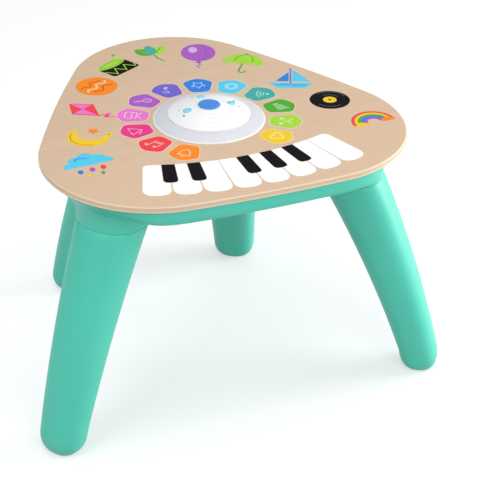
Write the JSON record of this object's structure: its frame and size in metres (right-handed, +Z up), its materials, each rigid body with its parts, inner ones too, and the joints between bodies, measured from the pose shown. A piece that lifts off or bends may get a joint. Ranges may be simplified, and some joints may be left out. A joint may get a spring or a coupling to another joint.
{
  "type": "musical activity table",
  "caption": "Low rounded-triangular play table with a plywood top, printed touch keyboard and pads round a domed control module, on a moulded base with splayed legs.",
  "frame": {"origin": "on the floor, below the middle of the object's overall box", "axes": "+X right along the keyboard, +Y away from the keyboard towards the back corner, +Z up"},
  "size_m": [0.5562, 0.4663, 0.3713],
  "materials": {
    "plywood": "clear satin lacquer over pale veneer",
    "teal_plastic": "satin moulded plastic",
    "white_plastic": "satin moulded plastic",
    "ring_plastic": "milky translucent plastic",
    "blue_plastic": "glossy moulded plastic",
    "aqua_plastic": "glossy moulded plastic",
    "dark_plastic": "fine matt texture",
    "screw_steel": "zinc plated",
    "circuit_board": "solder resist",
    "cone_paper": "pressed paper",
    "sensing_film": "printed film",
    "battery_sleeve": "printed sleeve",
    "lead_sleeve": "flexible sleeve",
    "print_white": "screen print",
    "print_black": "screen print",
    "print_orange": "screen print",
    "print_red": "screen print",
    "print_magenta": "screen print",
    "print_pink": "screen print",
    "print_purple": "screen print",
    "print_indigo": "screen print",
    "print_blue": "screen print",
    "print_cyan": "screen print",
    "print_teal": "screen print",
    "print_green": "screen print",
    "print_lime": "screen print",
    "print_yellow": "screen print"
  },
  "bodies": {
    "table": {"table_top": "plywood", "base_shell": "teal_plastic", "leg_front_right": "teal_plastic", "leg_front_left": "teal_plastic", "leg_back_right": "teal_plastic", "leg_back_left": "teal_plastic", "leg_screw_front_right": "screw_steel", "leg_screw_front_left": "screw_steel", "leg_screw_back_right": "screw_steel", "leg_screw_back_left": "screw_steel", "top_screw_1": "screw_steel", "top_screw_2": "screw_steel", "top_screw_3": "screw_steel", "top_screw_4": "screw_steel", "top_screw_5": "screw_steel", "module_housing": "white_plastic", "light_ring": "ring_plastic", "dome_cap": "white_plastic", "speaker_frame": "dark_plastic", "speaker_cone": "cone_paper", "speaker_magnet": "screw_steel", "main_board": "circuit_board", "touch_film": "sensing_film", "module_screw_1": "screw_steel", "module_screw_2": "screw_steel", "module_screw_3": "screw_steel", "module_screw_4": "screw_steel", "battery_case": "dark_plastic", "battery_1": "battery_sleeve", "battery_2": "battery_sleeve", "battery_3": "battery_sleeve", "battery_contact_left": "screw_steel", "battery_contact_right": "screw_steel", "battery_lead": "lead_sleeve", "switch_body": "dark_plastic", "white_keys": "print_white", "black_key_1": "print_black", "black_key_2": "print_black", "black_key_3": "print_black", "black_key_4": "print_black", "black_key_5": "print_black", "touch_pad_1": "print_orange", "touch_pad_2": "print_red", "touch_pad_3": "print_magenta", "touch_pad_4": "print_pink", "touch_pad_5": "print_purple", "touch_pad_6": "print_indigo", "touch_pad_7": "print_blue", "touch_pad_8": "print_cyan", "touch_pad_9": "print_teal", "touch_pad_10": "print_green", "touch_pad_11": "print_lime", "touch_pad_12": "print_yellow"},
    "centre_button": {"centre_button": "blue_plastic"},
    "left_button": {"left_button": "aqua_plastic"},
    "back_button": {"back_button": "aqua_plastic"},
    "right_button": {"right_button": "aqua_plastic"},
    "battery_door": {"battery_door": "teal_plastic", "battery_door_screw": "screw_steel"},
    "switch_knob": {"switch_knob": "dark_plastic"}
  },
  "joints": [
    {"name": "centre_button_press", "type": "slide", "parent": "table", "child": "centre_button", "axis": [0, 0, -1], "range_m": [0, 0.0015], "stiffness_N_per_m": 500, "springref_m": -0.0015},
    {"name": "left_button_press", "type": "slide", "parent": "table", "child": "left_button", "axis": [0, 0, -1], "range_m": [0, 0.0015], "stiffness_N_per_m": 500, "springref_m": -0.0015},
    {"name": "back_button_press", "type": "slide", "parent": "table", "child": "back_button", "axis": [0, 0, -1], "range_m": [0, 0.0015], "stiffness_N_per_m": 500, "springref_m": -0.0015},
    {"name": "right_button_press", "type": "slide", "parent": "table", "child": "right_button", "axis": [0, 0, -1], "range_m": [0, 0.0015], "stiffness_N_per_m": 500, "springref_m": -0.0015},
    {"name": "battery_door_hinge", "type": "hinge", "parent": "table", "child": "battery_door", "pos_m": [0, -0.10949, 0.3224], "axis": [1, 0, 0], "range_deg": [0, 95]},
    {"name": "switch_slide", "type": "slide", "parent": "table", "child": "switch_knob", "axis": [1, 0, 0], "range_m": [-0.003, 0.003]}
  ]
}
